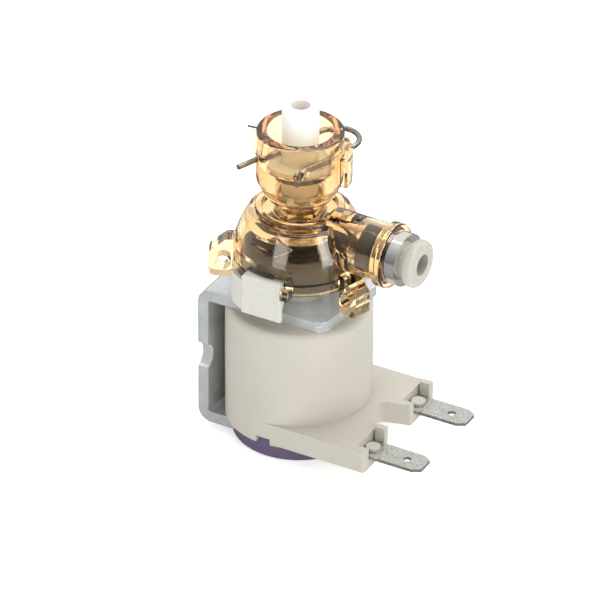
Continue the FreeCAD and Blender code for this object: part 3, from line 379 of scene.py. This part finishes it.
# ---- rubber and spring -------------------------------------------------------------------------
SPRING_TURNS = 9
SPRING_WIRE = 0.00028          # radius of its wire
FLAT_TURN, FLAT_RISE = 0.8, 0.07    # turns of a flat end and their share of the rise
TURN_STEPS, WIRE_SIDES = 36, 12     # points per turn and around the wire
RUBBER = 0.0008                # thickness of the diaphragm
WEB_IN = 0.0044                # its inner radius, at the insert
STATIONS = (0, 0.25, 0.35, 0.85, 1)         # places along the diaphragm's profile
REACH_AT = (0, 0, 0.14, 0.8, 1.0)           # share of the way in, at the stations
LEVEL_AT = (0, 0.6, 0.86, 1.0, 1.0)         # share of the way up, at the stations
PROFILE_STEPS, ROUND_STEPS = 60, 120        # points along the profile and around the axis
SMOOTHED = 7                   # profile points that each level is averaged over
RIDGE = 0.00012                # half the height of its moulded ridges
RIDGES = 6                     # ridges that the whole profile would hold
RIDGES_FROM, RIDGES_TO, RIDGES_FADE = 0.4, 0.8, 12  # where they start and end, and how sharply


def surface(name, points, closed, slot):
    """Smooth mesh of a grid of points, one ring to a row. The last ring joins the first if closed,
    or else each end gets a cap."""
    rows, columns = points.shape[:2]
    index = np.arange(rows * columns).reshape(rows, columns)
    beside = np.roll(index, -1, axis=1)
    faces = np.stack([index, beside, np.roll(beside, -1, axis=0), np.roll(index, -1, axis=0)],
                     axis=-1)
    if closed:
        faces = faces.reshape(-1, 4).tolist()
    else:
        faces = faces[:-1].reshape(-1, 4).tolist()
        faces += [index[0][::-1].tolist(), index[-1].tolist()]
    mesh = bpy.data.meshes.new(name)
    mesh.from_pydata(points.reshape(-1, 3).tolist(), [], faces)
    mesh.shade_smooth()
    mesh.materials.append(FINISH[slot])
    piece = bpy.data.objects.new(name, mesh)
    bpy.context.scene.collection.objects.link(piece)
    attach(piece, "valve")
    return piece


def make_spring():
    """Plunger spring: a circle of wire carried along a helix, whose rise is a straight line
    between a flat turn at each end."""
    low, high = (np.array(corner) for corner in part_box("plunger_spring"))
    radius = (high[0] - low[0]) / 2 - SPRING_WIRE
    turns = np.linspace(0, SPRING_TURNS, TURN_STEPS * SPRING_TURNS)
    rise = np.interp(turns, [0, FLAT_TURN, SPRING_TURNS - FLAT_TURN, SPRING_TURNS],
                     [0, FLAT_RISE, 1 - FLAT_RISE, 1])
    angle = 2 * math.pi * turns
    out = np.stack([np.cos(angle), np.sin(angle), 0 * turns], axis=-1)
    centre = out * radius
    centre[:, 2] = low[2] + SPRING_WIRE + rise * (high[2] - low[2] - 2 * SPRING_WIRE)
    around = np.linspace(0, 2 * math.pi, WIRE_SIDES, endpoint=False)[None, :, None]
    points = centre[:, None] + SPRING_WIRE * (np.cos(around) * out[:, None]
                                              + np.sin(around) * np.array([0, 0, 1.0]))
    spring = surface("spring", points, False, "spring_steel")
    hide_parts("plunger_spring")
    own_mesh(spring)


def make_diaphragm():
    """Rubber diaphragm: a profile turned about the valve's axis. The profile runs up the cup's
    side, over its shoulder and in to the insert, by straight lines between stations, whose levels
    are then averaged. The web carries a cosine row of ridges, and the profile comes back a
    rubber's thickness away, square to itself."""
    low, high = (np.array(corner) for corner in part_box("diaphragm"))
    outer, top = high[0], high[2]
    run = np.linspace(0, 1, PROFILE_STEPS)
    radius = outer - np.interp(run, STATIONS, REACH_AT) * (outer - WEB_IN)
    level = np.pad(np.interp(run, STATIONS, LEVEL_AT), SMOOTHED // 2, mode="edge")
    level = np.convolve(level, np.ones(SMOOTHED) / SMOOTHED, mode="valid")
    height = low[2] + level * (top - low[2])
    ridged = (np.clip((run - RIDGES_FROM) * RIDGES_FADE, 0, 1)
              * np.clip((RIDGES_TO - run) * RIDGES_FADE, 0, 1))
    height -= RIDGE * ridged * (1 + np.cos(run * 2 * RIDGES * math.pi))
    slope = np.stack([np.gradient(height), -np.gradient(radius)], axis=-1)
    slope /= np.linalg.norm(slope, axis=1)[:, None]
    under_r, under_z = radius - RUBBER * slope[:, 0], height - RUBBER * slope[:, 1]
    profile_r = np.concatenate([radius, np.maximum(under_r, WEB_IN)[::-1]])
    profile_z = np.concatenate([height, np.maximum(under_z, low[2])[::-1]])
    turn = np.linspace(0, 2 * math.pi, ROUND_STEPS, endpoint=False)[:, None]
    points = np.stack([profile_r * np.cos(turn), profile_r * np.sin(turn),
                       profile_z + 0 * turn], axis=-1)
    rubber = surface("rubber_diaphragm", points, True, "black_rubber")
    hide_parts("diaphragm")
    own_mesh(rubber)


EFFECTS["speckle"] = speckle_group()
EFFECTS["clouds"] = clouds_group()
make_plastics()
make_metals()
dress_nodes()
make_spring()
make_diaphragm()
camera()
light_room()
lay_floor()
